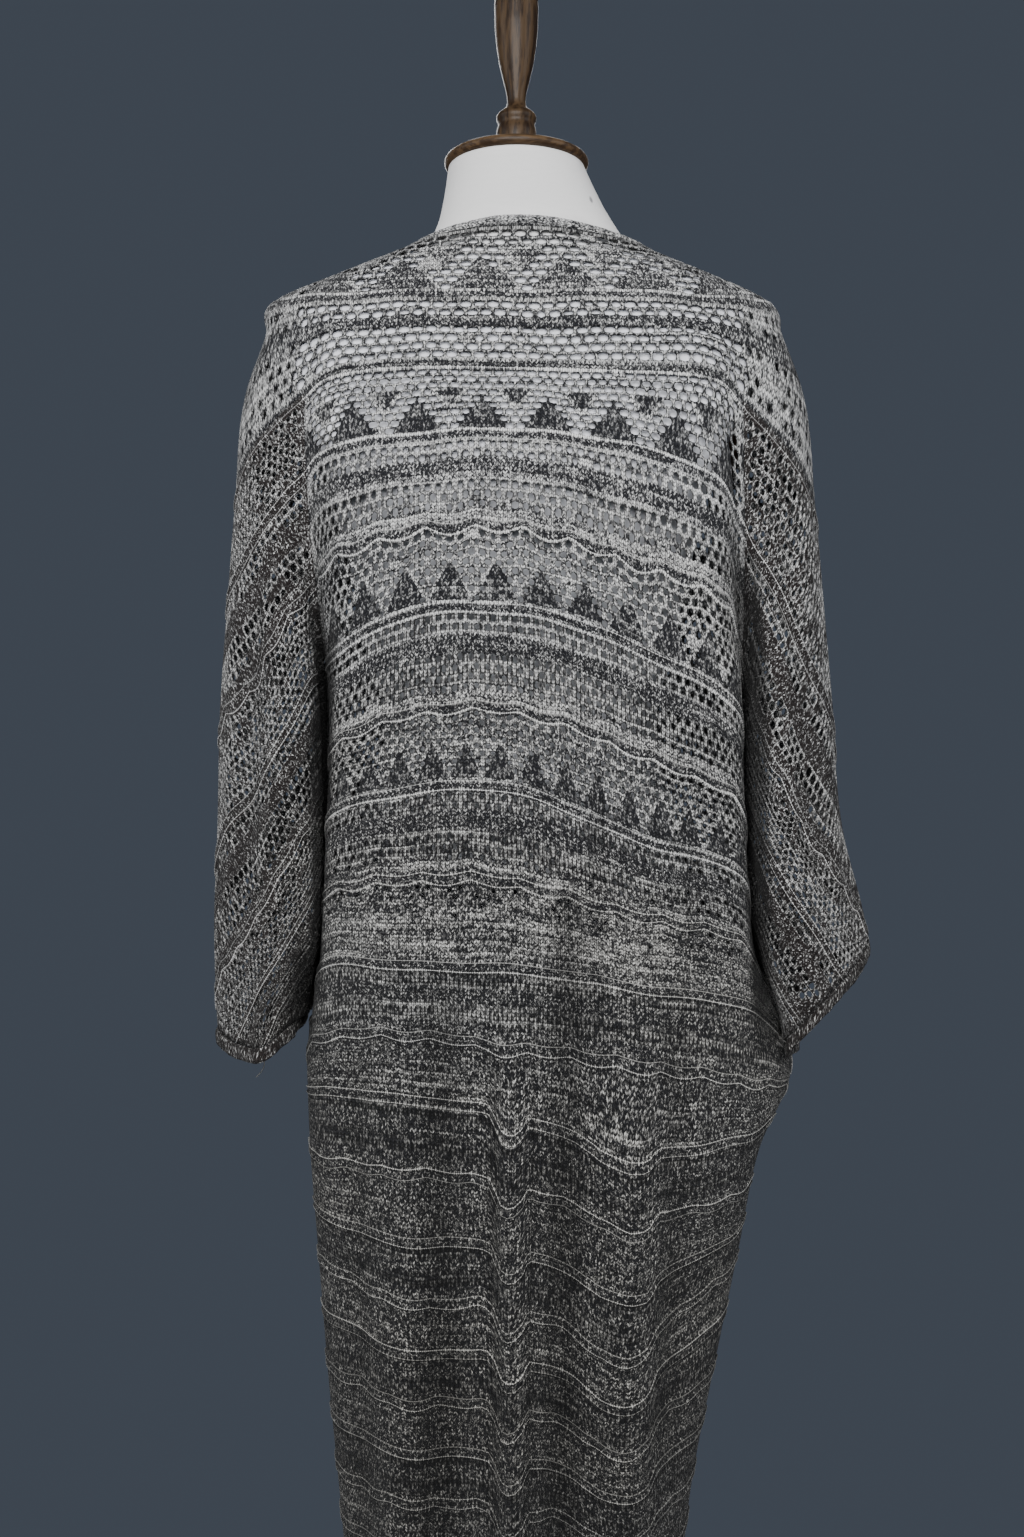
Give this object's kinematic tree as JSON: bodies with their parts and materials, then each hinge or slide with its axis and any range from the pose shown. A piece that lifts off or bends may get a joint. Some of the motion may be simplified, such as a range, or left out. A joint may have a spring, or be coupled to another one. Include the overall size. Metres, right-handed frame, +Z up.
{
  "type": "open-front lace cardigan on a limbless dress form",
  "caption": "Long open-front lace knit cardigan with batwing sleeves and a rolled edge band, hanging hollow on a limbless cloth-covered dress form with a turned wooden neck cap and stand.",
  "frame": {"origin": "centre of the base's underside, on the floor", "axes": "+Z up along the pole; the wearer's front faces -Y and the wearer's left is +X"},
  "size_m": [0.5379, 0.36, 1.6537],
  "materials": {
    "knit": "marled black and cream yarn, open lace knit",
    "linen": "plain white cloth",
    "dark_wood": "glossy dark stain"
  },
  "bodies": {
    "root": {"base": "dark_wood", "cardigan_back": "knit", "cuff_left": "knit", "cuff_right": "knit", "edge_band": "knit", "finial": "dark_wood", "form_torso": "linen", "front_left": "knit", "front_right": "knit", "neck_cap": "dark_wood", "pole": "dark_wood", "shoulder_cap_left": "dark_wood", "shoulder_cap_right": "dark_wood"}
  },
  "joints": []
}
